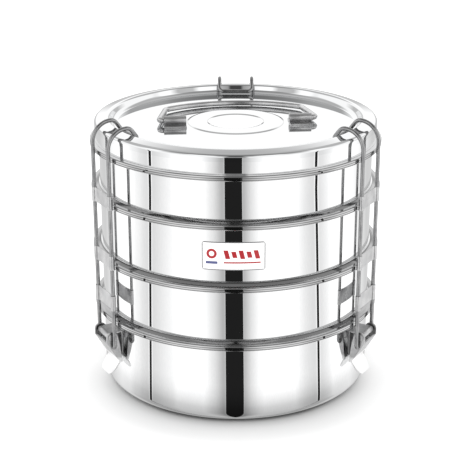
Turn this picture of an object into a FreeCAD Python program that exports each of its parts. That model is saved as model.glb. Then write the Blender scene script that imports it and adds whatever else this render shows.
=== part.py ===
import FreeCAD, Part
import math
import os

os.makedirs("parts", exist_ok=True)

V = FreeCAD.Vector

# ---- driving dimensions, mm ------------------------------------------------
# stacked containers
WALL_R = 84.5            # outside radius of every container wall
SHEET = 0.8              # thickness of the pressed steel sheet
BEAD_R = 90.0            # outside radius of the rolled rims
BEAD_H = 3.3             # height of a rim's outer face
FOOT_R = 82.9            # outside radius of the foot that nests in the tier below
FOOT_DROP = 5.0          # how far the foot reaches below its seat
FOOT_CORNER = 3.0
SHOULDER_CORNER = 0.5
BASE_CORNER = 6.0        # corner radius under the bottom container
BEAD_EDGE = 0.9
BEAD_TOP_EDGE = 0.8
GROOVE = 0.22            # depth of the fine grooves in a rim's face
GROOVE_HALF = 0.2
GROOVE_UP = (1.25, 2.05) # height of each groove above the rim's underside
LIP_FOOT_R = 87.3        # the lip above a rim slopes in from here
LIP_TOP_R = 85.3         # to here, at the seat
# name, height of the seat it stands on, underside of its rim, height of the seat it offers
TIERS = [
    ("container_bottom", 0.0, 49.0, 53.7),
    ("container_lower", 53.7, 85.6, 90.5),
    ("container_upper", 90.5, 123.6, 128.2),
    ("container_top", 128.2, 152.5, 155.8),
]

# lid
LID_SEAT = 155.8
SKIRT_R = 87.0
LID_FLAT = 163.3         # top of the sunk middle of the lid
CREST = 168.4            # top of the lid's raised rim
CREST_IN = 77.9
CREST_OUT = 79.8
LAND_EDGE = 167.3
PAN_R = 75.6             # foot of the raised rim's inner wall
PLUG_R = 83.0
PLUG_BOTTOM = 152.6
RING_IN = 18.0
RING_OUT = 30.2
RING_RISE = 0.5
RING_SLOPE = 0.6         # width of the step up to the pressed ring
PAN_BEND = 1.2
CREST_IN_BEND = 0.9
CREST_OUT_BEND = 1.5
SKIRT_BEND = 2.2

# carrying handle
HANDLE_ROD = 1.6         # rod radius
HINGE_Z = 166.4
HINGE_MID = (1.35, -5.05)
HANDLE_TURN = 5.1        # the hinge line's turn from the X axis, degrees
LEG_X = 48.3             # where the legs meet the hinge line
LEG_SLANT = 10.0         # each leg leans inward by this angle, degrees
CROWN_Y = 45.0
CROWN_R = 67.4
HANDLE_CORNER = 7.0
HANDLE_BEND = 2.4
HANDLE_LIE = 1.53        # the lying handle slopes down to the lid by this angle
PIN_IN = 32.5
BARREL_X = 38.5
BARREL_HALF = 6.8
BARREL_R = 2.8
HANDLE_BORE = 1.68
FLANGE_Y = 7.6
FLANGE_T = 0.9
NECK_Y = 1.8             # half the width of the web under the barrel

# wire clips, in a clip's own axes: X outward, Y along the rim, Z up
CLIPS = [("left", 210.0), ("right", 330.0), ("back", 90.0)]
WIRE = 1.25              # wire radius
LEG_C = 91.4             # the wire's plane outside the rims
LEG_T = 10.8             # half the spacing of the two legs
HOOK_R = 11.9
HOOK_IN_R = 4.5
HOOK_TURN = 54.0
HOOK_TOP = 172.2
BAR_Z = 165.2
BAR_BEND = 2.6
PIN_BEND = 1.9
PIN_END = 7.4
PLATES = [("upper", 124.0, 133.0), ("middle", 86.5, 95.5), ("lower", 60.2, 69.8)]
PLATE_T = 0.5
CURL_R = 1.7

# over-centre latch
PIVOT_Z = 41.8
ARM = 6.8                # from the lever's pivot to the wire's pin
ARM_LEAN = 10.0          # the closed arm's lean past the straight line, degrees
CHEEK_OUT = 8.8
LEVER_T = 0.8
PIVOT_PIN = 1.2
PIVOT_HOLE = 1.25
WIRE_HOLE = 1.33
HEAD_R = 2.2
HEAD_T = 0.35
HEAD_GAP = 0.05          # running gap between a cheek and the rivet's head
KNUCKLE_R = 2.0
KNUCKLE_HALF = 7.0
PAD_BOTTOM = 27.5
TAB_HALF = 8.0
TAB_BOTTOM = -26.4       # end of the finger tab, from the pivot
TAB_CORNER = 5.5

# label
LABEL_HALF = 12.4        # half its angle round the wall, degrees
LABEL_MID = -90.8
LABEL_Z0 = 97.9
LABEL_Z1 = 115.0
LABEL_T = 0.25

PIVOT_C = LEG_C + ARM * math.sin(math.radians(ARM_LEAN))
WIRE_PIN_Z = PIVOT_Z - ARM * math.cos(math.radians(ARM_LEAN))


def save(name, shape):
    """Write one finished node."""
    shape.exportStep("parts/" + name + ".step")


def outline(corners):
    """Closed face in the XZ plane; a corner's third number rounds it."""
    n = len(corners)
    pts = [V(c[0], 0, c[1]) for c in corners]
    starts = []
    ends = []
    arcs = []
    for i in range(n):
        p = pts[i]
        radius = corners[i][2] if len(corners[i]) > 2 else 0.0
        if radius <= 0:
            starts.append(p)
            ends.append(p)
            arcs.append(None)
            continue
        a = (pts[i - 1] - p).normalize()
        b = (pts[(i + 1) % n] - p).normalize()
        half = math.acos(max(-1.0, min(1.0, a.dot(b)))) / 2.0
        back = radius / math.tan(half)
        mid_dir = (a + b).normalize()
        centre = p + mid_dir * (radius / math.sin(half))
        starts.append(p + a * back)
        ends.append(p + b * back)
        arcs.append(centre - mid_dir * radius)
    edges = []
    for i in range(n):
        if arcs[i] is not None:
            edges.append(Part.Arc(starts[i], arcs[i], ends[i]).toShape())
        nxt = starts[(i + 1) % n]
        if ends[i].distanceToPoint(nxt) > 1e-6:
            edges.append(Part.makeLine(ends[i], nxt))
    return Part.Face(Part.Wire(edges))


def lathe(corners):
    """Solid turned about the Z axis from an outline."""
    return outline(corners).revolve(V(0, 0, 0), V(0, 0, 1), 360)


def plate_in_xz(corners, y0, y1):
    """Solid of an outline carried from y0 to y1."""
    face = outline(corners)
    face.translate(V(0, y0, 0))
    return face.extrude(V(0, y1 - y0, 0))


def rod_along_y(radius, x, z, y0, y1):
    return Part.makeCylinder(radius, y1 - y0, V(x, y0, z), V(0, 1, 0))


def bent_rod(points, bends, radius):
    """Round rod through points, with each inner corner bent to its radius."""
    edges = []
    last = points[0]
    for i in range(1, len(points) - 1):
        p = points[i]
        a = (points[i - 1] - p).normalize()
        b = (points[i + 1] - p).normalize()
        half = math.acos(max(-1.0, min(1.0, a.dot(b)))) / 2.0
        back = bends[i - 1] / math.tan(half)
        mid_dir = (a + b).normalize()
        centre = p + mid_dir * (bends[i - 1] / math.sin(half))
        start = p + a * back
        end = p + b * back
        if last.distanceToPoint(start) > 1e-6:
            edges.append(Part.makeLine(last, start))
        edges.append(Part.Arc(start, centre - mid_dir * bends[i - 1], end).toShape())
        last = end
    edges.append(Part.makeLine(last, points[-1]))
    return sweep_rod(edges, radius)


def sweep_rod(edges, radius):
    """Round rod along joined tangent edges."""
    path = Part.Wire(edges)
    start = edges[0].valueAt(edges[0].FirstParameter)
    heading = edges[0].tangentAt(edges[0].FirstParameter)
    ring = Part.Wire([Part.makeCircle(radius, start, heading)])
    return path.makePipeShell([ring], True, False)


# ---- containers and lid ------------------------------------------------------
def rim_corners(under, seat):
    """Outline of a rolled rim, from its underside at the wall to its inner edge."""
    top = under + BEAD_H
    corners = [(WALL_R, under), (BEAD_R, under, BEAD_EDGE)]
    for up in GROOVE_UP:
        corners.append((BEAD_R, under + up - GROOVE_HALF))
        corners.append((BEAD_R - GROOVE, under + up))
        corners.append((BEAD_R, under + up + GROOVE_HALF))
    corners.append((BEAD_R, top, BEAD_TOP_EDGE))
    if seat > top + 0.1:
        corners.append((LIP_FOOT_R, top, 0.5))
        corners.append((LIP_TOP_R, seat, 0.4))
    corners.append((WALL_R - SHEET, seat))
    return corners


def container(index):
    name, seat, under, top_seat = TIERS[index]
    inner = WALL_R - SHEET
    if index == 0:
        corners = [(0, seat), (WALL_R, seat, BASE_CORNER)]
        corners += rim_corners(under, top_seat)
        corners += [(inner, seat + SHEET, BASE_CORNER - SHEET), (0, seat + SHEET)]
        return lathe(corners)
    floor = seat - FOOT_DROP
    corners = [
        (0, floor),
        (FOOT_R, floor, FOOT_CORNER),
        (FOOT_R, seat),
        (WALL_R, seat, SHOULDER_CORNER),
    ]
    corners += rim_corners(under, top_seat)
    corners += [
        (inner, seat + SHEET),
        (FOOT_R - SHEET, seat + SHEET),
        (FOOT_R - SHEET, floor + SHEET, FOOT_CORNER - SHEET),
        (0, floor + SHEET),
    ]
    return lathe(corners)


def lid():
    under_flat = LID_FLAT - SHEET
    return lathe([
        (0, LID_FLAT),
        (RING_IN - RING_SLOPE, LID_FLAT),
        (RING_IN, LID_FLAT + RING_RISE),
        (RING_OUT - RING_SLOPE, LID_FLAT + RING_RISE),
        (RING_OUT, LID_FLAT),
        (PAN_R, LID_FLAT, PAN_BEND),
        (CREST_IN, CREST, CREST_IN_BEND),
        (CREST_OUT, CREST, CREST_OUT_BEND),
        (SKIRT_R, LAND_EDGE, SKIRT_BEND),
        (SKIRT_R, LID_SEAT),
        (SKIRT_R - SHEET, LID_SEAT),
        (SKIRT_R - SHEET, LAND_EDGE - SHEET, SKIRT_BEND - SHEET),
        (PLUG_R, LAND_EDGE - 0.25),
        (PLUG_R, PLUG_BOTTOM),
        (PLUG_R - SHEET, PLUG_BOTTOM),
        (PLUG_R - SHEET, LAND_EDGE - 0.1),
        (CREST_OUT - 0.1, CREST - SHEET),
        (CREST_IN + 0.55, CREST - SHEET),
        (PAN_R + 0.5, under_flat, 0.5),
        (0, under_flat),
    ])


def label():
    """Thin sticker lying on the wall of the second container from the top."""
    height = LABEL_Z1 - LABEL_Z0
    base = V(0, 0, LABEL_Z0)
    angle = 2 * LABEL_HALF
    outer = Part.makeCylinder(WALL_R + LABEL_T, height, base, V(0, 0, 1), angle)
    inner = Part.makeCylinder(WALL_R, height, base, V(0, 0, 1), 360)
    skin = outer.cut(inner)
    skin.rotate(V(0, 0, 0), V(0, 0, 1), LABEL_MID - LABEL_HALF)
    return skin


# ---- carrying handle ---------------------------------------------------------
def to_lid(shape):
    """Carry a shape from the hinge's own axes to the lid."""
    shape.rotate(V(0, 0, 0), V(0, 0, 1), HANDLE_TURN)
    shape.translate(V(HINGE_MID[0], HINGE_MID[1], HINGE_Z))
    return shape


def handle_side(s):
    """Edges of one half of the handle, from its pin to the middle of the crown."""
    slant = math.radians(LEG_SLANT)
    along = V(-s * math.sin(slant), math.cos(slant), 0)
    inward = V(-s * math.cos(slant), -math.sin(slant), 0)
    knee = V(s * LEG_X, 0, 0)
    half_knee = (math.pi / 2.0 - slant) / 2.0
    back = HANDLE_BEND / math.tan(half_knee)
    pin_end = knee + V(-s * back, 0, 0)
    leg_start = knee + along * back
    inside = (V(-s, 0, 0) + along).normalize()
    bend_mid = knee + inside * (HANDLE_BEND / math.sin(half_knee) - HANDLE_BEND)
    middle = V(0, CROWN_Y - CROWN_R, 0)
    reach = CROWN_R - HANDLE_CORNER
    base = knee + inward * HANDLE_CORNER - middle
    step = base.dot(along)
    climb = -step + math.sqrt(step ** 2 - base.dot(base) + reach ** 2)
    leg_end = knee + along * climb
    centre = leg_end + inward * HANDLE_CORNER
    outward = (centre - middle).normalize()
    corner_mid = centre + (outward - inward).normalize() * HANDLE_CORNER
    touch = centre + outward * HANDLE_CORNER
    rise = math.atan2(touch.y - middle.y, s * touch.x)
    half = (rise + math.pi / 2.0) / 2.0
    crown_mid = middle + V(s * math.cos(half), math.sin(half), 0) * CROWN_R
    return [
        Part.makeLine(V(s * PIN_IN, 0, 0), pin_end),
        Part.Arc(pin_end, bend_mid, leg_start).toShape(),
        Part.makeLine(leg_start, leg_end),
        Part.Arc(leg_end, corner_mid, touch).toShape(),
        Part.Arc(touch, crown_mid, V(0, CROWN_Y, 0)).toShape(),
    ]


def handle():
    """Rod bent to a shallow bow, both ends turned in as hinge pins."""
    edges = handle_side(1) + list(reversed(handle_side(-1)))
    rod = sweep_rod(edges, HANDLE_ROD)
    rod.rotate(V(0, 0, 0), V(1, 0, 0), -HANDLE_LIE)
    return to_lid(rod)


def handle_bracket(side):
    """Sheet rolled into a barrel for the pin, with a welded flange each side."""
    x0 = side * BARREL_X - BARREL_HALF
    length = 2 * BARREL_HALF
    foot = LID_FLAT - HINGE_Z
    barrel = Part.makeCylinder(BARREL_R, length, V(x0, 0, 0), V(1, 0, 0))
    flange = Part.makeBox(length, 2 * FLANGE_Y, FLANGE_T, V(x0, -FLANGE_Y, foot))
    neck = Part.makeBox(length, 2 * NECK_Y, -foot - HANDLE_BORE / 2.0, V(x0, -NECK_Y, foot))
    bore = Part.makeCylinder(HANDLE_BORE, length + 2, V(x0 - 1, 0, 0), V(1, 0, 0))
    return to_lid(barrel.fuse([flange, neck]).removeSplitter().cut(bore))


# ---- wire clips ----------------------------------------------------------------
def to_rim(shape, angle):
    shape.rotate(V(0, 0, 0), V(0, 0, 1), angle)
    return shape


def wire_clip():
    """One wire: two legs, hooked over the lid's rim and joined by the bar inside it."""
    turn = math.radians(HOOK_TURN)
    top_c = LEG_C - HOOK_R
    inner_c = top_c - HOOK_IN_R * math.sin(turn)
    inner_z = HOOK_TOP - HOOK_IN_R * (1 - math.cos(turn))
    bar_c = inner_c - (inner_z - BAR_Z) / math.tan(turn)
    peak_c = top_c - HOOK_IN_R * math.tan(turn / 2.0)
    side = [
        (LEG_C, PIN_END, WIRE_PIN_Z, 0.0),
        (LEG_C, LEG_T, WIRE_PIN_Z, PIN_BEND),
        (LEG_C, LEG_T, HOOK_TOP, HOOK_R),
        (peak_c, LEG_T, HOOK_TOP, HOOK_IN_R),
        (bar_c, LEG_T, BAR_Z, BAR_BEND),
    ]
    other = [(c, -t, z, bend) for c, t, z, bend in reversed(side)]
    whole = side + other
    return bent_rod([V(c, t, z) for c, t, z, bend in whole], [p[3] for p in whole[1:-1]], WIRE)


def strap_plate(z0, z1):
    """Flat cross strap with both edges curled round the wires."""
    height = z1 - z0
    flat = Part.makeBox(PLATE_T, 2 * LEG_T, height, V(LEG_C - PLATE_T / 2.0, -LEG_T, z0))
    shape = flat
    for s in (-1, 1):
        shape = shape.fuse(Part.makeCylinder(CURL_R, height, V(LEG_C, s * LEG_T, z0)))
    for s in (-1, 1):
        shape = shape.cut(Part.makeCylinder(WIRE, height + 2, V(LEG_C, s * LEG_T, z0 - 1)))
    return shape


# ---- latches ---------------------------------------------------------------------
def lever():
    """Pressed lever: two cheeks, the web between them and a finger tab."""
    px = PIVOT_C
    pz = PIVOT_Z

    def at(x, z, radius=0.0):
        return (px + x, pz + z, radius)

    cheek = [
        at(-3.3, 3.2, 3.0),
        at(3.2, 3.2, 3.0),
        at(3.2, -3.4, 1.0),
        at(-5.0, -17.4, 0.8),
        at(-7.2, -18.4, 0.6),
        at(-5.2, -4.6, 2.0),
    ]
    shape = plate_in_xz(cheek, CHEEK_OUT - LEVER_T, CHEEK_OUT)
    shape = shape.fuse(plate_in_xz(cheek, -CHEEK_OUT, -CHEEK_OUT + LEVER_T))
    web = [at(3.2, -3.4), at(-5.0, -17.4), at(-5.75, -16.96), at(2.45, -2.96)]
    shape = shape.fuse(plate_in_xz(web, -CHEEK_OUT + 0.01, CHEEK_OUT - 0.01))
    tab = [
        at(-4.85, -17.15),
        at(-5.2, -17.75, 0.8),
        at(0.92, -25.91),
        at(0.28, TAB_BOTTOM),
        at(-6.21, -17.74, 1.6),
        at(-5.62, -16.75),
    ]
    blade = plate_in_xz(tab, -TAB_HALF, TAB_HALF)
    blade = blade.common(tab_mask(px, pz))
    shape = shape.fuse(blade).removeSplitter()
    for radius, x, z in ((PIVOT_HOLE, px, pz), (WIRE_HOLE, LEG_C, WIRE_PIN_Z)):
        shape = shape.cut(rod_along_y(radius, x, z, -CHEEK_OUT - 1, CHEEK_OUT + 1))
    return shape


def tab_mask(px, pz):
    """Block that gives the finger tab its rounded end."""
    low = pz + TAB_BOTTOM
    depth = 12.0
    box = Part.makeBox(depth, 2 * TAB_HALF, 12, V(px - 9, -TAB_HALF, low))
    ends = [e for e in box.Edges if abs(e.CenterOfMass.z - low) < 1e-6
            and abs(e.Length - depth) < 1e-6]
    return box.makeFillet(TAB_CORNER, ends)


def latch_bracket():
    """Pad welded on the bottom container, rolled at its top into the knuckle."""
    top = PIVOT_Z + KNUCKLE_R
    pad = Part.makeCylinder(WALL_R + SHEET, top - PAD_BOTTOM, V(0, 0, PAD_BOTTOM))
    pad = pad.cut(Part.makeCylinder(WALL_R, top - PAD_BOTTOM, V(0, 0, PAD_BOTTOM)))
    pad = pad.common(Part.makeBox(20, 2 * KNUCKLE_HALF, top, V(WALL_R - 10, -KNUCKLE_HALF, 0)))
    shelf = Part.makeBox(PIVOT_C - WALL_R - 0.5, 2 * KNUCKLE_HALF, SHEET,
                         V(WALL_R + 0.5, -KNUCKLE_HALF, top - SHEET))
    knuckle = rod_along_y(KNUCKLE_R, PIVOT_C, PIVOT_Z, -KNUCKLE_HALF, KNUCKLE_HALF)
    shape = knuckle.fuse([shelf, pad]).removeSplitter()
    return shape.cut(rod_along_y(PIVOT_PIN, PIVOT_C, PIVOT_Z, -CHEEK_OUT, CHEEK_OUT))


def pivot_pin():
    """Rivet the lever turns on, with a flat head outside each cheek."""
    reach = CHEEK_OUT + HEAD_GAP
    shape = rod_along_y(PIVOT_PIN, PIVOT_C, PIVOT_Z, -reach, reach)
    for y0 in (-reach - HEAD_T, reach):
        shape = shape.fuse(rod_along_y(HEAD_R, PIVOT_C, PIVOT_Z, y0, y0 + HEAD_T))
    return shape.removeSplitter()


def build():
    for index in range(len(TIERS)):
        save(TIERS[index][0], container(index))
    save("lid", lid())
    save("label", label())
    save("handle", handle())
    save("handle_bracket_left", handle_bracket(-1))
    save("handle_bracket_right", handle_bracket(1))
    for side, angle in CLIPS:
        save("wire_clip_" + side, to_rim(wire_clip(), angle))
        for place, z0, z1 in PLATES:
            save("strap_plate_" + place + "_" + side, to_rim(strap_plate(z0, z1), angle))
        save("latch_lever_" + side, to_rim(lever(), angle))
        save("latch_bracket_" + side, to_rim(latch_bracket(), angle))
        save("pivot_pin_" + side, to_rim(pivot_pin(), angle))


build()
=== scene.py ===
import math

import bmesh
import bpy
from mathutils import Matrix, Vector


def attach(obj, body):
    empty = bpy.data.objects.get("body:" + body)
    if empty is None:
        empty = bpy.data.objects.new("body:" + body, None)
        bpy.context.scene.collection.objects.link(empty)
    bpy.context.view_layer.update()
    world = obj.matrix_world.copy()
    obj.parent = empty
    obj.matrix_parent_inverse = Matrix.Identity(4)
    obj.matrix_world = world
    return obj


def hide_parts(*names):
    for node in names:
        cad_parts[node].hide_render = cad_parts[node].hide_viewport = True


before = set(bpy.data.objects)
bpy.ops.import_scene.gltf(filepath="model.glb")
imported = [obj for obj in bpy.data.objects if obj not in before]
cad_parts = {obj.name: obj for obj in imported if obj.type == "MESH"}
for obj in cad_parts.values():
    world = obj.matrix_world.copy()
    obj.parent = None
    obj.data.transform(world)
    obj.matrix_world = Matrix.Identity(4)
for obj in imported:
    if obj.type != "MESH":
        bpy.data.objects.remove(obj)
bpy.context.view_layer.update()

MM = 0.001

# ---- sizes in millimetres and degrees, as in the CAD ---------------------------
WALL_R = 84.5
SHEET = 0.8
BEAD_R = 90.0
BEAD_H = 3.3
BEAD_EDGE = 0.9
BEAD_TOP_R = 87.3        # from here a rim's top slopes up to the seat
SEAT_R = 85.3
FOOT_R = 82.9
FOOT_DROP = 5.0
FOOT_CORNER = 3.0
SHOULDER_CORNER = 0.5
BASE_CORNER = 6.0
# node, seat it stands on, underside of its rim, seat it offers
TIERS = [
    ("container_bottom", 0.0, 49.0, 53.7),
    ("container_lower", 53.7, 85.6, 90.5),
    ("container_upper", 90.5, 123.6, 128.2),
    ("container_top", 128.2, 152.5, 155.8),
]
LID_SEAT = 155.8
SKIRT_R = 87.0
LID_FLAT = 163.3
CREST = 168.4
CREST_IN = 77.9
CREST_OUT = 79.8
LAND_EDGE = 167.3
PAN_R = 75.6
PLUG_R = 83.0
PLUG_BOTTOM = 152.6
RING_IN = 18.0
RING_OUT = 30.2
RING_RISE = 0.5

HANDLE_ROD = 1.6
HINGE_MID = (1.35, -5.05, 166.4)
HANDLE_TURN = 5.1
LEG_X = 48.3
CROWN_Y = 45.0
CROWN_R = 67.4
HANDLE_CORNER = 7.0
LEG_SLANT = 10.0
HANDLE_BEND = 2.4
HANDLE_LIE = 1.53
PIN_IN = 32.5

CLIPS = [("left", 210.0), ("right", 330.0), ("back", 90.0)]
WIRE = 1.25
LEG_C = 91.4
LEG_T = 10.8
HOOK_R = 11.9
HOOK_IN_R = 4.5
HOOK_TURN = 54.0
HOOK_TOP = 172.2
BAR_Z = 165.2
BAR_BEND = 2.6
PIN_BEND = 1.9
PIN_END = 7.4
PIVOT_Z = 41.8
ARM = 6.8
ARM_LEAN = 10.0
PLATES = [("upper", 124.0, 133.0), ("middle", 86.5, 95.5), ("lower", 60.2, 69.8)]

LABEL_MID = -90.8
LABEL_HALF = 12.4
LABEL_Z0 = 97.9
LABEL_Z1 = 115.0
LABEL_RED = (0.36, 0.008, 0.014, 1)
LABEL_BLUE = (0.08, 0.09, 0.22, 1)

# ---- drawn unlike the CAD, whose value follows ------------------------------------
ROD_EXTRA = 0.1          # 0, on the handle rod's radius
RING_SLOPE = 1.6         # 0.6, width of the slopes of the embossed rings
RING_BEND = 2.0          # 0
PAN_BEND = 3.6           # 1.2
CREST_IN_BEND = 1.6      # 0.9
LABEL_T = 0.2            # 0.25
LABEL_CORNER = 1.4       # 0
CURL_T = 0.42            # 0.5 in a strap's flat part and 0.45 in its curls
CURL_FROM = 170.0        # the curls are open here and closed in the CAD
CURL_TURN = 330.0
CURL_GAP = 0.9           # from the flat part to where a curl begins

# ---- meshes ----------------------------------------------------------------------
SPIN = 288               # faces round a spun shell
ON_AXIS = 1e-6
ROD_SIDES = 24
WIRE_SIDES = 20
SHARP_ANGLE = 32.0       # edges above it stay sharp in the shading
SOFT_ANGLE = 40.0        # edges above it are bevelled
STRAP_EDGE = 0.12        # bevel widths
PRESSED_EDGE = 0.15
WELD_GAP = 0.01
LABEL_GAP = 0.02         # between the wall and the sticker's back
LABEL_COLUMNS = 48

# ---- camera, in millimetres and degrees, fitted to the photo's rims ---------------
CAM_BACK = 767.4
CAM_UP = 366.8
CAM_PITCH = 20.0
CAM_LENS = 97.28
CAM_SENSOR = 36.0
CAM_SHIFT = 0.0029       # of the frame's width
CAM_FAR = 20.0           # metres

# ---- surround that the steel mirrors: (degrees from the front, grey level) ---------
PANELS_SPLIT = 59.3      # a ramp holds 32 stops, so the panels take two
PANELS = [
    (-180, 0.50), (-148, 0.52), (-138, 0.62), (-125, 0.82), (-112, 1.0), (-100, 1.0),
    (-93, 0.84), (-88.5, 0.79), (-84.4, 0.70), (-79, 0.645), (-72.0, 0.64),
    (-67.7, 0.69), (-59.3, 0.81), (-55, 0.875), (-51, 1.0), (-28, 1.0), (-20.7, 0.755),
    (-18.3, 0.69), (-15.1, 0.566), (-12.7, 0.46), (-11, 0.40), (6.5, 0.40), (8.1, 0.47),
    (9.7, 0.54), (11.3, 0.61), (12.9, 0.69), (14.5, 0.735), (18, 0.86), (24, 1.0),
    (50.9, 1.0), (55, 0.86), (PANELS_SPLIT, 0.76),
]
PANELS_BEYOND = [
    (PANELS_SPLIT, 0.76), (63.5, 0.69), (67.7, 0.65), (72.6, 0.68), (76, 0.70),
    (80, 0.77), (84.4, 0.86), (88.6, 1.0), (112, 1.0), (125, 0.80), (142, 0.60),
    (150, 0.52), (180, 0.50),
]
# the front of the tent above the table, by heading as a share of half a turn
FRONT_HIGH = [
    (0.0, 0.05), (0.03, 0.05), (0.045, 0.30), (0.08, 0.42), (0.105, 0.85), (0.15, 1.0),
    (0.21, 1.0), (0.25, 0.50), (0.34, 0.46), (0.39, 1.0), (0.45, 1.0), (0.49, 0.55),
    (0.60, 0.5),
]
FRONT_LOW = [(0.0, 0.25), (0.04, 0.3), (0.06, 0.85), (1.0, 0.95)]
# each dark line's heading, its step under the top tier and its lean below that
DARK_LINES = [(-71.7, -3.2, -4.7), (66.7, 3.0, 8.3)]
STEP_FROM, STEP_TO = -0.2950, -0.2895       # heights of a mirror ray's direction
LEAN_FROM, LEAN_TO = -0.455, -0.306
LINE_HALF = 1.2
LINE_FRINGE = 2.1
LINE_SHADE = 0.015
LINE_FRINGE_SHADE = 0.86
STRIP_LOW = (-0.62, 7.66)                   # heading and half width of the dark strip
STRIP_HIGH = (-1.9, 6.9)
STRIP_TOP = -0.29
STRIP_FRINGE = 0.7
STRIP_SHADE = 0.012
STRIP_FRINGE_SHADE = 0.48
BOW_FULL = 76.0          # heading from which the panels are bowed in full
BOW_FROM = 0.35          # how far below eye level the bow starts
BOW_LEAST = -0.06
BOW = 0.65
PANELS_LEAN = 0.039
LIT = 1.43
SIDE_LIGHT = 1.09        # what every ray that isn't a mirror ray sees

# ---- contact shadow: (distance from the axis in millimetres, grey level) -----------
FLOOR_SHADE = [
    (78, 0.10), (82, 0.24), (84.5, 0.46), (86, 0.54), (88, 0.61), (90, 0.67), (92, 0.72),
    (95, 0.76), (98, 0.79), (102, 0.82), (106, 0.855), (110, 0.90), (124, 1.0),
]
MIRRORED_SHADE = [
    (78, 0.20), (84.5, 0.42), (90, 0.45), (96, 0.49), (101, 0.56), (106, 0.68),
    (112, 0.79), (118, 0.88), (126, 0.95), (134, 1.0),
]
FLOOR_HALF = 4.0         # metres, as in the next two
SHADOW_HALF = 0.14
SHADOW_LIFT = 0.00005
SHADE_LEAST = 0.2        # share of the contact shadow at the sides and back

# ---- painted shade and highlight of the rolled rims from the underside up, by a share of RIM_SPAN ---
RIM_SPAN = 5.0
RIM_MARGIN = 12.0        # from here below a rim on, the height counts from that rim
RIM_PAINTED_LIGHT = [
    (0.0, 0.60), (0.10, 0.60), (0.12, 0.21), (0.21, 0.21), (0.24, 0.55), (0.32, 0.55),
    (0.35, 0.22), (0.44, 0.22), (0.47, 0.54), (0.56, 0.52), (0.59, 0.38), (0.68, 0.40),
    (0.80, 0.40), (0.88, 0.34), (0.91, 0.14), (1.0, 0.14),
]
CREVICE = 4.0            # how near the facing metal is where the painted crevice shade starts
HANDLE_REACH = 70.0      # wire nearer the axis than this is the handle


# ---- outlines --------------------------------------------------------------------
def rounded(corners, closed=True, step=9.0):
    """Points of a 2D or 3D path whose corners are bent to a radius.

    A corner is (point, radius); the arc has a point about every step degrees.
    """
    pts = []
    n = len(corners)
    for i in range(n):
        p, radius = Vector(corners[i][0]), corners[i][1]
        if radius <= 0 or (not closed and i in (0, n - 1)):
            pts.append(p)
            continue
        a = (Vector(corners[i - 1][0]) - p).normalized()
        b = (Vector(corners[(i + 1) % n][0]) - p).normalized()
        turn = math.pi - a.angle(b)
        back = radius * math.tan(turn / 2)
        centre = p + (a + b).normalized() * (radius / math.cos(turn / 2))
        start = p + a * back - centre
        end = p + b * back - centre
        count = max(2, math.ceil(math.degrees(turn) / step))
        for k in range(count + 1):
            f = k / count
            s0 = math.sin((1 - f) * turn) / math.sin(turn)
            s1 = math.sin(f * turn) / math.sin(turn)
            pts.append(centre + start * s0 + end * s1)
    return pts


def corners_of(rows):
    """Rows of (x, y) or (x, y, radius) as corners for rounded."""
    return [((r[0], r[1], 0.0), r[2] if len(r) > 2 else 0.0) for r in rows]


# ---- mesh builders ------------------------------------------------------------------
def finish_piece(name, bm, node, body, material, turn=0.0):
    """Turn a bmesh in millimetres into a shown piece that stands for a CAD node.

    turn is the piece's place round the Z axis, in degrees.
    """
    bm.transform(Matrix.Rotation(math.radians(turn), 4, "Z"))
    bm.transform(Matrix.Scale(MM, 4))
    bmesh.ops.recalc_face_normals(bm, faces=bm.faces)
    mesh = bpy.data.meshes.new(name)
    bm.to_mesh(mesh)
    bm.free()
    for poly in mesh.polygons:
        poly.use_smooth = True
    mesh.set_sharp_from_angle(angle=math.radians(SHARP_ANGLE))
    piece = bpy.data.objects.new(name, mesh)
    bpy.context.scene.collection.objects.link(piece)
    mesh.materials.append(material)
    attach(piece, body)
    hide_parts(node)
    return piece


def on_circle(radius, angle, z):
    return (radius * math.cos(angle), radius * math.sin(angle), z)


def spun(points):
    """Closed shell turned about Z from (r, z) points that start and end on the axis."""
    bm = bmesh.new()
    rings = []
    for p in points:
        if p[0] < ON_AXIS:
            rings.append([bm.verts.new((0, 0, p[1]))])
            continue
        rings.append([bm.verts.new(on_circle(p[0], 2 * math.pi * k / SPIN, p[1]))
                      for k in range(SPIN)])
    for low, high in zip(rings, rings[1:]):
        for k in range(SPIN):
            j = (k + 1) % SPIN
            if len(low) == 1:
                bm.faces.new((low[0], high[k], high[j]))
            elif len(high) == 1:
                bm.faces.new((low[k], low[j], high[0]))
            else:
                bm.faces.new((low[k], low[j], high[j], high[k]))
    return bm


def tube(path, radius, sides):
    """Round rod along a path of points, with flat ends."""
    bm = bmesh.new()
    rings = []
    normal = None
    for i, p in enumerate(path):
        ahead = path[min(i + 1, len(path) - 1)]
        behind = path[max(i - 1, 0)]
        along = (ahead - behind).normalized()
        if normal is None:
            side = Vector((0, 0, 1)) if abs(along.z) < 0.9 else Vector((1, 0, 0))
            normal = along.cross(side).normalized()
        normal = (normal - along * normal.dot(along)).normalized()
        other = along.cross(normal)
        ring = []
        for k in range(sides):
            a = 2 * math.pi * k / sides
            outward = normal * math.cos(a) + other * math.sin(a)
            ring.append(bm.verts.new(p + outward * radius))
        rings.append(ring)
    for low, high in zip(rings, rings[1:]):
        for k in range(sides):
            j = (k + 1) % sides
            bm.faces.new((low[k], low[j], high[j], high[k]))
    bm.faces.new(list(reversed(rings[0])))
    bm.faces.new(rings[-1])
    return bm


def slab(points, z0, z1):
    """Prism of a closed XY outline between two heights."""
    bm = bmesh.new()
    low = [bm.verts.new((p[0], p[1], z0)) for p in points]
    high = [bm.verts.new((p[0], p[1], z1)) for p in points]
    n = len(points)
    bm.faces.new(list(reversed(low)))
    bm.faces.new(high)
    for k in range(n):
        j = (k + 1) % n
        bm.faces.new((low[k], low[j], high[j], high[k]))
    return bm


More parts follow.
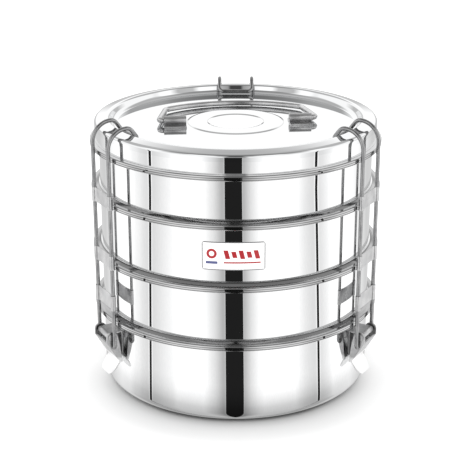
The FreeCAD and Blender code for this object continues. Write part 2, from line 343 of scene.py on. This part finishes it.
def soften(piece, width, weld=False):
    """Round the sharp edges of a pressed piece a little."""
    if weld:
        piece.modifiers.new("weld", "WELD").merge_threshold = WELD_GAP * MM
    bevel = piece.modifiers.new("edges", "BEVEL")
    bevel.width = width * MM
    bevel.segments = 2
    bevel.limit_method = "ANGLE"
    bevel.angle_limit = math.radians(SOFT_ANGLE)


# ---- material nodes --------------------------------------------------------------
def grey(level):
    return (level, level, level, 1)


class Graph:
    """Short forms for the nodes of one material or world."""

    def __init__(self, tree):
        self.tree = tree
        tree.nodes.clear()

    def node(self, kind, **settings):
        made = self.tree.nodes.new(kind)
        for key, value in settings.items():
            setattr(made, key, value)
        return made

    def put(self, socket, value):
        if isinstance(value, bpy.types.NodeSocket):
            self.tree.links.new(value, socket)
        else:
            socket.default_value = value

    def math(self, op, *values):
        made = self.node("ShaderNodeMath", operation=op)
        for socket, value in zip(made.inputs, values):
            self.put(socket, value)
        return made.outputs[0]

    def length(self, x, y):
        squares = self.math("ADD", self.math("MULTIPLY", x, x), self.math("MULTIPLY", y, y))
        return self.math("SQRT", squares)

    def off(self, value, middle):
        """How far a value lies from a middle, on either side."""
        return self.math("ABSOLUTE", self.math("SUBTRACT", value, middle))

    def point(self, x, y, z):
        made = self.node("ShaderNodeCombineXYZ")
        for socket, value in zip(made.inputs, (x, y, z)):
            self.put(socket, value)
        return made.outputs[0]

    def split(self, vector):
        made = self.node("ShaderNodeSeparateXYZ")
        self.put(made.inputs[0], vector)
        return made.outputs[0], made.outputs[1], made.outputs[2]

    def place(self):
        return self.node("ShaderNodeTexCoord").outputs["Object"]

    def noise(self, vector, scale, detail=3.0, roughness=0.5):
        made = self.node("ShaderNodeTexNoise")
        self.put(made.inputs["Vector"], vector)
        self.put(made.inputs["Scale"], scale)
        self.put(made.inputs["Detail"], detail)
        self.put(made.inputs["Roughness"], roughness)
        return made.outputs["Fac"]

    def span(self, value, low, high, to_low, to_high):
        """Value from low to high stretched over to_low to to_high, and held beyond."""
        made = self.node("ShaderNodeMapRange")
        for socket, v in zip(made.inputs, (value, low, high, to_low, to_high)):
            self.put(socket, v)
        return made.outputs[0]

    def mix(self, factor, a, b, blend="MIX"):
        made = self.node("ShaderNodeMix", data_type="RGBA", blend_type=blend)
        self.put(made.inputs[0], factor)
        self.put(made.inputs[6], a)
        self.put(made.inputs[7], b)
        return made.outputs[2]

    def ramp(self, value, stops):
        made = self.node("ShaderNodeValToRGB")
        items = made.color_ramp.elements
        while len(items) > 1:
            items.remove(items[-1])
        for k, (place, shade) in enumerate(stops):
            item = items[0] if k == 0 else items.new(place)
            item.position = place
            item.color = grey(shade)
        self.put(made.inputs[0], value)
        return made.outputs[0]

    def bump(self, height, strength, distance):
        made = self.node("ShaderNodeBump")
        self.put(made.inputs["Strength"], strength)
        self.put(made.inputs["Distance"], distance)
        self.put(made.inputs["Height"], height)
        return made.outputs[0]

    def output(self, kind, shader):
        self.tree.links.new(shader.outputs[0], self.node(kind).inputs[0])


def new_material(name, kind="ShaderNodeBsdfPrincipled"):
    material = bpy.data.materials.new(name)
    material.use_nodes = True
    graph = Graph(material.node_tree)
    shader = graph.node(kind)
    graph.output("ShaderNodeOutputMaterial", shader)
    return material, graph, shader


def coat(g, shader, colour, rough, normal, metal=1.0):
    """Feed a shader its colour, roughness, bump and metalness."""
    for name, value in (("Base Color", colour), ("Metallic", metal),
                        ("Roughness", rough), ("Normal", normal)):
        g.put(shader.inputs[name], value)


def round_axis(g, place):
    """Angle in radians, height and radius in metres about the carrier's axis."""
    x, y, z = g.split(place)
    return g.math("ARCTAN2", y, x), z, g.length(x, y)


def rim_height(g, z):
    """Height in millimetres above the underside of the nearest rolled rim."""
    height = g.math("SUBTRACT", g.math("DIVIDE", z, MM), TIERS[0][2])
    for below, tier in zip(TIERS, TIERS[1:]):
        past = g.math("GREATER_THAN", z, (tier[2] - RIM_MARGIN) * MM)
        height = g.math("SUBTRACT", height, g.math("MULTIPLY", past, tier[2] - below[2]))
    return height


def lid_shades(g, sheet, z, radius):
    """Darken the lid outside its inner ring, and paint grey lines at the rings' edges as
    painted shade of crisp folds.
    """
    on_lid = g.math("GREATER_THAN", z, (LID_FLAT - 0.2) * MM)
    around = g.span(radius, RING_IN * MM, (RING_IN + 1) * MM, 0.0, 1.0)
    sheet = g.mix(g.math("MULTIPLY", around, on_lid), sheet, (0.735, 0.74, 0.745, 1))
    # painted shade: a thin grey line along each ring's edge
    for edge in (RING_IN - 0.6, RING_OUT - 0.6):
        line = g.span(g.off(radius, edge * MM), 0.25 * MM, 0.45 * MM, 1.0, 0.0)
        sheet = g.mix(g.math("MULTIPLY", line, on_lid), sheet, grey(0.60))
    return sheet


def polished_steel():
    """Mirror-polished sheet; the rolled rims are rougher, with painted bands of shade and
    highlight and fine lines along them.
    """
    material, g, shader = new_material("polished_steel")
    place = g.place()
    angle, z, radius = round_axis(g, place)
    lines = g.noise(g.point(g.math("MULTIPLY", angle, 0.02), z, radius), 2600.0, 2.0)
    grain = g.noise(g.point(g.math("MULTIPLY", angle, 0.3), z, radius), 420.0, 3.0)
    wipes = g.noise(place, 28.0, 4.0, 0.6)
    tone = g.span(g.math("MULTIPLY", wipes, grain), 0.1, 0.45, 0.0, 1.0)
    sheet = g.mix(tone, (0.765, 0.77, 0.775, 1), grey(0.815))
    sheet = lid_shades(g, sheet, z, radius)

    out = g.span(radius, (WALL_R + 0.3) * MM, (WALL_R + 0.9) * MM, 0.0, 1.0)
    below = g.span(z, (LID_SEAT - 0.1) * MM, (LID_SEAT + 0.1) * MM, 1.0, 0.0)
    rim = g.math("MULTIPLY", out, below)
    # painted shade and highlight: light and dark bands along each rolled rim
    rolled = g.ramp(g.math("DIVIDE", rim_height(g, z), RIM_SPAN), RIM_PAINTED_LIGHT)
    worn = g.mix(wipes, (0.9, 0.9, 0.91, 1), grey(1.0))
    colour = g.mix(rim, sheet, g.mix(1.0, rolled, worn, "MULTIPLY"))

    polish = g.math("ADD", g.span(wipes, 0.35, 0.75, 0.004, 0.016),
                    g.math("MULTIPLY", lines, 0.006))
    rough = g.math("ADD", polish, g.math("MULTIPLY", rim, 0.035))
    coat(g, shader, colour, rough, g.bump(g.noise(place, 9.0, 1.0), 0.05, 0.0006))
    return material


def pressed_steel():
    """Satin pressed sheet: fine grain, duller patches, painted shade in the latch crevices, a
    painted highlight on the tabs.
    """
    material, g, shader = new_material("pressed_steel")
    place = g.place()
    x, y, z = g.split(place)
    grain = g.noise(g.point(g.math("MULTIPLY", x, 6.0), g.math("MULTIPLY", y, 6.0), z),
                    900.0, 3.0)
    patch = g.noise(place, 160.0, 3.0)
    colour = g.mix(g.span(patch, 0.3, 0.7, 0.0, 1.0), (0.44, 0.44, 0.445, 1), grey(0.58))
    # painted shade: the latch crevices darken where other metal is near
    crevice = g.node("ShaderNodeAmbientOcclusion", samples=8)
    g.put(crevice.inputs["Distance"], CREVICE * MM)
    painted_crevice_shade = g.span(crevice.outputs["AO"], 0.25, 0.85, 0.85, 0.0)
    latches = g.span(z, 0.10, 0.15, 1.0, 0.0)
    colour = g.mix(g.math("MULTIPLY", painted_crevice_shade, latches), colour, grey(0.07))
    # painted highlight: the latch tabs, below 27 mm, are made near-white
    colour = g.mix(g.span(z, 0.026, 0.028, 1.0, 0.0), colour, grey(0.93))
    rough = g.math("ADD", g.span(patch, 0.3, 0.7, 0.30, 0.20), g.math("MULTIPLY", grain, 0.12))
    coat(g, shader, colour, rough, g.bump(grain, 0.35, 0.00008))
    return material


def wire_steel():
    """Drawn wire with die lines and small dull spots; the handle is paler than the clips."""
    material, g, shader = new_material("wire_steel")
    place = g.place()
    x, y, z = g.split(place)
    drawn = g.noise(g.point(x, y, g.math("MULTIPLY", z, 0.06)), 2400.0, 2.0)
    spots = g.noise(place, 240.0, 3.0, 0.6)
    spotted = g.span(spots, 0.35, 0.7, 0.0, 1.0)
    clip = g.mix(spotted, (0.27, 0.27, 0.275, 1), grey(0.37))
    handle = g.mix(spotted, (0.46, 0.46, 0.465, 1), grey(0.58))
    on_handle = g.math("LESS_THAN", g.length(x, y), HANDLE_REACH * MM)
    rough = g.math("ADD", g.span(spots, 0.3, 0.7, 0.08, 0.16), g.math("MULTIPLY", drawn, 0.08))
    coat(g, shader, g.mix(on_handle, clip, handle), rough, g.bump(drawn, 0.2, 0.00004))
    return material


def label_paper():
    """White glossy sticker with a thin grey border and plain shapes in red and blue."""
    material, g, shader = new_material("label_print")
    place = g.place()
    angle, z, _ = round_axis(g, place)
    across = g.math("MULTIPLY", g.math("SUBTRACT", angle, math.radians(LABEL_MID)), WALL_R)
    up = g.math("SUBTRACT", g.math("DIVIDE", z, MM), (LABEL_Z0 + LABEL_Z1) / 2)
    half_w = math.radians(LABEL_HALF) * WALL_R
    half_h = (LABEL_Z1 - LABEL_Z0) / 2

    def inside(distance):
        return g.span(distance, -0.08, 0.08, 1.0, 0.0)

    def box(cx, cy, w, h, slant=0.0):
        dx = g.off(g.math("ADD", across, g.math("MULTIPLY", up, slant)), cx)
        dx = g.math("SUBTRACT", dx, w)
        dy = g.math("SUBTRACT", g.off(up, cy), h)
        return inside(g.math("MAXIMUM", dx, dy))

    def disc(cx, cy, size):
        dx = g.math("DIVIDE", g.math("SUBTRACT", across, cx), size)
        dy = g.math("DIVIDE", g.math("SUBTRACT", up, cy), size)
        return inside(g.math("MULTIPLY", g.math("SUBTRACT", g.length(dx, dy), 1.0), size))

    fibre = g.noise(place, 900.0, 4.0)
    paper = g.mix(fibre, grey(0.90), (0.97, 0.97, 0.96, 1))
    border = g.math("SUBTRACT", 1.0, box(0, 0, half_w - 0.55, half_h - 0.55))
    colour = g.mix(border, paper, (0.16, 0.16, 0.165, 1))
    colour = g.mix(disc(-12.6, 1.4, 3.0), colour, LABEL_RED)
    colour = g.mix(disc(-12.6, 1.4, 1.5), colour, paper)
    colour = g.mix(box(-12.6, -4.0, 3.4, 0.8), colour, LABEL_BLUE)
    for k in range(5):
        tall = 2.6 if k % 2 == 0 else 1.9
        colour = g.mix(box(-3.6 + 4.3 * k, 1.0, 1.35, tall, 0.25), colour, LABEL_RED)
    colour = g.mix(box(5.0, -3.9, 10.6, 0.45), colour, LABEL_RED)
    rough = g.span(fibre, 0.3, 0.7, 0.28, 0.36)
    coat(g, shader, colour, rough, g.bump(fibre, 0.1, 0.00002), metal=0.0)
    return material


# ---- containers and lid ----------------------------------------------------------
def rim_rows(under, seat):
    """Outline of a rolled rim, from its underside at the wall to its inner edge."""
    top = under + BEAD_H
    rows = [(WALL_R, under, 0.25), (BEAD_R, under, BEAD_EDGE), (BEAD_R, top, 0.8)]
    if seat > top + 0.1:
        rows += [(BEAD_TOP_R, top, 0.5), (SEAT_R, seat, 0.4)]
    return rows + [(WALL_R - SHEET, seat, 0.2)]


def container_rows(index):
    """Section of a container from the middle of its underside round to its inner floor."""
    _, seat, under, top_seat = TIERS[index]
    inner = WALL_R - SHEET
    rim = rim_rows(under, top_seat)
    if index == 0:
        return [
            (0, seat),
            (WALL_R, seat, BASE_CORNER),
            *rim,
            (inner, seat + SHEET, BASE_CORNER - SHEET),
            (0, seat + SHEET),
        ]
    floor = seat - FOOT_DROP
    return [
        (0, floor),
        (FOOT_R, floor, FOOT_CORNER),
        (FOOT_R, seat),
        (WALL_R, seat, SHOULDER_CORNER),
        *rim,
        (inner, seat + SHEET),
        (FOOT_R - SHEET, seat + SHEET),
        (FOOT_R - SHEET, floor + SHEET, FOOT_CORNER - SHEET),
        (0, floor + SHEET),
    ]


def lid_rows():
    """Section of the lid: over the top from the middle, down the skirt and back below."""
    under = LID_FLAT - SHEET
    return [
        (0, LID_FLAT),
        (RING_IN - RING_SLOPE, LID_FLAT, RING_BEND),
        (RING_IN, LID_FLAT + RING_RISE, RING_BEND),
        (RING_OUT - RING_SLOPE, LID_FLAT + RING_RISE, RING_BEND),
        (RING_OUT, LID_FLAT, RING_BEND),
        (PAN_R, LID_FLAT, PAN_BEND),
        (CREST_IN, CREST, CREST_IN_BEND),
        (CREST_OUT, CREST, 1.5),
        (SKIRT_R, LAND_EDGE, 2.2),
        (SKIRT_R, LID_SEAT, 0.15),
        (SKIRT_R - SHEET, LID_SEAT, 0.15),
        (SKIRT_R - SHEET, LAND_EDGE - SHEET, 1.4),
        (PLUG_R, LAND_EDGE - 0.25),
        (PLUG_R, PLUG_BOTTOM, 0.2),
        (PLUG_R - SHEET, PLUG_BOTTOM, 0.2),
        (PLUG_R - SHEET, LAND_EDGE - 0.1),
        (CREST_OUT - 0.1, CREST - SHEET),
        (CREST_IN + 0.55, CREST - SHEET),
        (PAN_R + 0.5, under, 0.5),
        (0, under),
    ]


def make_shells(steel):
    profiles = [(tier[0], container_rows(index)) for index, tier in enumerate(TIERS)]
    for name, rows in profiles + [("lid", lid_rows())]:
        shell = finish_piece(name + "_shell", spun(rounded(corners_of(rows))), name,
                             "stack", steel)
        shell.modifiers.new("flat_walls", "WEIGHTED_NORMAL").keep_sharp = True


# ---- handle --------------------------------------------------------------------------
def arc(centre, radius, start, end, steps):
    """Points after the start of an arc in the XY plane, up to its end."""
    points = []
    for k in range(1, steps + 1):
        a = start + (end - start) * k / steps
        points.append(centre + Vector((math.cos(a), math.sin(a), 0)) * radius)
    return points


def handle_path():
    """Bow of the handle in its hinge's own axes, from pin to pin."""
    slant = math.radians(LEG_SLANT)
    middle = Vector((0, CROWN_Y - CROWN_R, 0))
    knee = Vector((LEG_X, 0, 0))
    along = Vector((-math.sin(slant), math.cos(slant), 0))
    inward = Vector((-math.cos(slant), -math.sin(slant), 0))
    # climb up the leg to where the corner's arc meets both the leg and the crown
    base = knee + inward * HANDLE_CORNER - middle
    step = base.dot(along)
    gap = (CROWN_R - HANDLE_CORNER) ** 2 - base.length_squared
    climb = math.sqrt(step ** 2 + gap) - step
    corner = middle + base + along * climb
    lean = math.atan2(corner.y - middle.y, corner.x)
    leg = [((PIN_IN, 0, 0), 0.0), (knee, HANDLE_BEND), (knee + along * climb, 0.0)]
    half = rounded(leg, closed=False, step=10.0)
    half += arc(corner, HANDLE_CORNER, slant, lean, 8)
    half += arc(middle, CROWN_R, lean, math.pi / 2, 12)
    return half + [Vector((-p.x, p.y, 0)) for p in reversed(half[:-1])]


def make_handle(steel):
    bm = tube(handle_path(), HANDLE_ROD + ROD_EXTRA, ROD_SIDES)
    bm.transform(Matrix.Rotation(math.radians(-HANDLE_LIE), 4, "X"))
    bm.transform(Matrix.Rotation(math.radians(HANDLE_TURN), 4, "Z"))
    bm.transform(Matrix.Translation(Vector(HINGE_MID)))
    finish_piece("handle_rod", bm, "handle", "carry_handle", steel)


# ---- wire clips -----------------------------------------------------------------------
def wire_path():
    """One clip's wire, from one pin over the rim and back to the other pin."""
    turn = math.radians(HOOK_TURN)
    pin_z = PIVOT_Z - ARM * math.cos(math.radians(ARM_LEAN))
    top_c = LEG_C - HOOK_R
    inner_c = top_c - HOOK_IN_R * math.sin(turn)
    inner_z = HOOK_TOP - HOOK_IN_R * (1 - math.cos(turn))
    bar_c = inner_c - (inner_z - BAR_Z) / math.tan(turn)
    peak_c = top_c - HOOK_IN_R * math.tan(turn / 2)
    side = [
        ((LEG_C, PIN_END, pin_z), 0.0),
        ((LEG_C, LEG_T, pin_z), PIN_BEND),
        ((LEG_C, LEG_T, HOOK_TOP), HOOK_R),
        ((peak_c, LEG_T, HOOK_TOP), HOOK_IN_R),
        ((bar_c, LEG_T, BAR_Z), BAR_BEND),
    ]
    other = [((p[0], -p[1], p[2]), radius) for p, radius in reversed(side)]
    return rounded(side + other, closed=False, step=7.0)


def strap_points():
    """Section of a strap: flat between the wires, its edges curled round them."""
    middle = WIRE + CURL_T / 2
    flat = LEG_T - middle - CURL_GAP
    half = [Vector((0, flat * k / 5, 0)) for k in range(6)]
    for k in range(23):
        a = math.radians(CURL_FROM - CURL_TURN * k / 22)
        half.append(Vector((middle * math.sin(a), LEG_T + middle * math.cos(a), 0)))
    full = [Vector((p.x, -p.y, 0)) for p in reversed(half[1:])] + half
    outer, inner = [], []
    for i, p in enumerate(full):
        ahead = full[min(i + 1, len(full) - 1)]
        behind = full[max(i - 1, 0)]
        along = (ahead - behind).normalized()
        side = Vector((-along.y, along.x, 0)) * (CURL_T / 2)
        outer.append(p + side)
        inner.append(p - side)
    return [(LEG_C + p.x, p.y) for p in outer + list(reversed(inner))]


def make_clips(wire, sheet):
    """Wires and their straps; the walls mirror only the lowest strap, as in the photo."""
    for side, angle in CLIPS:
        body = "clip_" + side
        finish_piece("wire_" + side, tube(wire_path(), WIRE, WIRE_SIDES),
                     "wire_clip_" + side, body, wire, turn=angle)
        for place, z0, z1 in PLATES:
            piece = finish_piece("strap_%s_%s" % (place, side),
                                 slab(strap_points(), z0, z1),
                                 "strap_plate_%s_%s" % (place, side), body,
                                 sheet, turn=angle)
            piece.visible_glossy = place == "lower"
            soften(piece, STRAP_EDGE)


def dress_cad_nodes(sheet):
    """Pressed pieces whose CAD shape is shown as it is, with softened edges."""
    names = ["handle_bracket_left", "handle_bracket_right"]
    for side, _ in CLIPS:
        names += ["latch_lever_" + side, "latch_bracket_" + side, "pivot_pin_" + side]
    for name in names:
        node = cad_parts[name]
        node.data.materials.clear()
        node.data.materials.append(sheet)
        soften(node, PRESSED_EDGE, weld=True)


# ---- label -----------------------------------------------------------------------------
def make_label(paper):
    """Thin curved sticker with rounded corners."""
    half_w = math.radians(LABEL_HALF) * WALL_R
    bm = bmesh.new()
    columns = []
    for k in range(LABEL_COLUMNS + 1):
        s = half_w * math.sin(math.pi * (k / LABEL_COLUMNS - 0.5))
        over = max(0.0, abs(s) - (half_w - LABEL_CORNER))
        cut = LABEL_CORNER - math.sqrt(max(0.0, LABEL_CORNER ** 2 - over ** 2))
        a = math.radians(LABEL_MID) + s / WALL_R
        columns.append([
            bm.verts.new(on_circle(r, a, z))
            for r in (WALL_R + LABEL_GAP, WALL_R + LABEL_T)
            for z in (LABEL_Z0 + cut, LABEL_Z1 - cut)
        ])
    for one, two in zip(columns, columns[1:]):
        bm.faces.new((one[0], one[1], two[1], two[0]))
        bm.faces.new((one[2], two[2], two[3], one[3]))
        bm.faces.new((one[0], two[0], two[2], one[2]))
        bm.faces.new((one[1], one[3], two[3], two[1]))
    first, last = columns[0], columns[-1]
    bm.faces.new((first[0], first[2], first[3], first[1]))
    bm.faces.new((last[0], last[1], last[3], last[2]))
    finish_piece("label_sticker", bm, "label", "stack", paper)


# ---- studio ----------------------------------------------------------------------------
def tent_turn(g, heading, z):
    """Heading, as a share of half a turn, along the leaning and bowed panels."""
    reach = g.math("MULTIPLY", heading, 180.0 / BOW_FULL)
    bow = g.math("MINIMUM", g.math("MULTIPLY", reach, reach), 1.0)
    depth = g.math("SUBTRACT", g.math("MULTIPLY", z, -1.0), BOW_FROM)
    depth = g.math("MAXIMUM", depth, BOW_LEAST)
    squeeze = g.math("MULTIPLY", g.math("MULTIPLY", depth, BOW), bow)
    bowed = g.math("MULTIPLY", heading, g.math("SUBTRACT", 1.0, squeeze))
    return g.math("SUBTRACT", bowed, g.math("MULTIPLY", depth, PANELS_LEAN))


def tent_table(g, heading, z):
    """The tent below eye level: pale panels, two dark lines and the dark strip in front."""
    turn = tent_turn(g, heading, z)
    place = g.math("ADD", g.math("MULTIPLY", turn, 0.5), 0.5)
    degrees = g.math("MULTIPLY", heading, 180.0)

    def panels(rows):
        return g.ramp(place, [((angle + 180.0) / 360.0, shade) for angle, shade in rows])

    def band(under, middle, half, shade):
        near = g.math("LESS_THAN", g.off(degrees, middle), half)
        return g.mix(near, under, grey(shade))

    past = g.math("GREATER_THAN", turn, PANELS_SPLIT / 180.0)
    table = g.mix(past, panels(PANELS), panels(PANELS_BEYOND))
    for top, step, lean in DARK_LINES:
        upper = g.math("ADD", g.span(z, STEP_FROM, STEP_TO, step, 0.0), top)
        middle = g.math("ADD", upper, g.span(z, LEAN_FROM, LEAN_TO, lean, 0.0))
        table = band(table, middle, LINE_FRINGE, LINE_FRINGE_SHADE)
        table = band(table, middle, LINE_HALF, LINE_SHADE)
    middle = g.span(z, LEAN_FROM, LEAN_TO, STRIP_LOW[0], STRIP_HIGH[0])
    half = g.span(z, LEAN_FROM, STRIP_TOP, STRIP_LOW[1], STRIP_HIGH[1])
    table = band(table, middle, g.math("ADD", half, STRIP_FRINGE), STRIP_FRINGE_SHADE)
    return band(table, middle, half, STRIP_SHADE)


def tent_upper(g, heading, y, z):
    """The tent above the table: a striped front, a grey back and a ceiling."""
    away = g.math("ABSOLUTE", heading)

    def rise(low, high, below, above):
        return g.mix(g.span(z, low, high, 0.0, 1.0), below, above)

    front = rise(0.40, 0.47, g.ramp(away, FRONT_LOW), g.ramp(away, FRONT_HIGH))
    back = rise(0.10, 0.20, grey(0.46), grey(0.89))
    back = rise(0.44, 0.56, back, grey(0.40))
    upper = g.mix(g.span(away, 0.52, 0.62, 0.0, 1.0), front, back)
    ceiling = g.mix(g.span(y, -0.6, 0.6, 0.0, 1.0), grey(0.12), grey(0.50))
    return rise(0.62, 0.80, upper, ceiling)


def make_world():
    """White tent that the polished steel mirrors, and even light for everything else."""
    world = bpy.data.worlds.new("studio")
    bpy.context.scene.world = world
    world.use_nodes = True
    world.cycles.sampling_method = "NONE"
    g = Graph(world.node_tree)
    x, y, z = g.split(g.node("ShaderNodeTexCoord").outputs["Generated"])
    heading = g.math("DIVIDE", g.math("ARCTAN2", x, g.math("MULTIPLY", y, -1.0)), math.pi)
    table = tent_table(g, heading, z)
    tent = g.mix(g.span(z, -0.06, 0.04, 0.0, 1.0), table, tent_upper(g, heading, y, z))
    mirrored = g.node("ShaderNodeLightPath").outputs["Is Glossy Ray"]
    lit = g.node("ShaderNodeBackground")
    g.put(lit.inputs["Color"], g.mix(mirrored, grey(SIDE_LIGHT), tent))
    g.put(lit.inputs["Strength"], LIT)
    g.output("ShaderNodeOutputWorld", lit)


def flat_sheet(name, half, height, material):
    """Square stage sheet, centred under the carrier."""
    bm = bmesh.new()
    bmesh.ops.create_grid(bm, x_segments=4, y_segments=4, size=half)
    mesh = bpy.data.meshes.new(name)
    bm.to_mesh(mesh)
    bm.free()
    sheet = bpy.data.objects.new(name, mesh)
    sheet.location.z = height
    mesh.materials.append(material)
    bpy.context.scene.collection.objects.link(sheet)
    return sheet


def contact_shade(g, rows):
    """Grey level round the base by distance from the axis, weaker at the sides and back."""
    angle, _, radius = round_axis(g, g.place())
    first, last = rows[0][0], rows[-1][0]
    away = g.span(radius, first * MM, last * MM, 0.0, 1.0)
    shade = g.ramp(away, [((r - first) / (last - first), level) for r, level in rows])
    facing = g.math("MULTIPLY", g.math("SINE", angle), -1.0)
    weight = g.math("ADD", g.math("MULTIPLY", facing, 0.9), SHADE_LEAST)
    weight = g.math("MAXIMUM", g.math("MINIMUM", weight, 1.0), SHADE_LEAST)
    return g.mix(weight, grey(1), shade)


def make_floor():
    """Pale floor with a soft contact shadow, and a disc with the shadow for mirror rays."""
    material, g, shader = new_material("pale_floor")
    pale = g.mix(g.noise(g.place(), 6.0, 2.0), grey(0.93), grey(0.95))
    toned = g.mix(1.0, pale, contact_shade(g, FLOOR_SHADE), "MULTIPLY")
    g.put(shader.inputs["Base Color"], toned)
    g.put(shader.inputs["Roughness"], 0.9)
    g.put(shader.inputs["Specular IOR Level"], 0.0)
    flat_sheet("floor", FLOOR_HALF, 0.0, material).visible_glossy = False

    material, g, clear = new_material("mirrored_shadow", "ShaderNodeBsdfTransparent")
    g.put(clear.inputs["Color"], contact_shade(g, MIRRORED_SHADE))
    shadow = flat_sheet("mirrored_shadow", SHADOW_HALF, SHADOW_LIFT, material)
    shadow.visible_camera = False
    shadow.visible_diffuse = False
    shadow.visible_shadow = False


def make_camera():
    data = bpy.data.cameras.new("camera")
    data.lens = CAM_LENS
    data.sensor_width = CAM_SENSOR
    data.shift_x = CAM_SHIFT
    data.clip_end = CAM_FAR
    camera = bpy.data.objects.new("camera", data)
    camera.location = (0, -CAM_BACK * MM, CAM_UP * MM)
    camera.rotation_euler = (math.radians(90 - CAM_PITCH), 0, 0)
    bpy.context.scene.collection.objects.link(camera)
    bpy.context.scene.camera = camera


def main():
    bpy.context.scene.view_settings.view_transform = "Standard"
    polished = polished_steel()
    sheet = pressed_steel()
    wire = wire_steel()
    make_shells(polished)
    make_handle(wire)
    make_clips(wire, sheet)
    dress_cad_nodes(sheet)
    make_label(label_paper())
    make_world()
    make_floor()
    make_camera()


main()
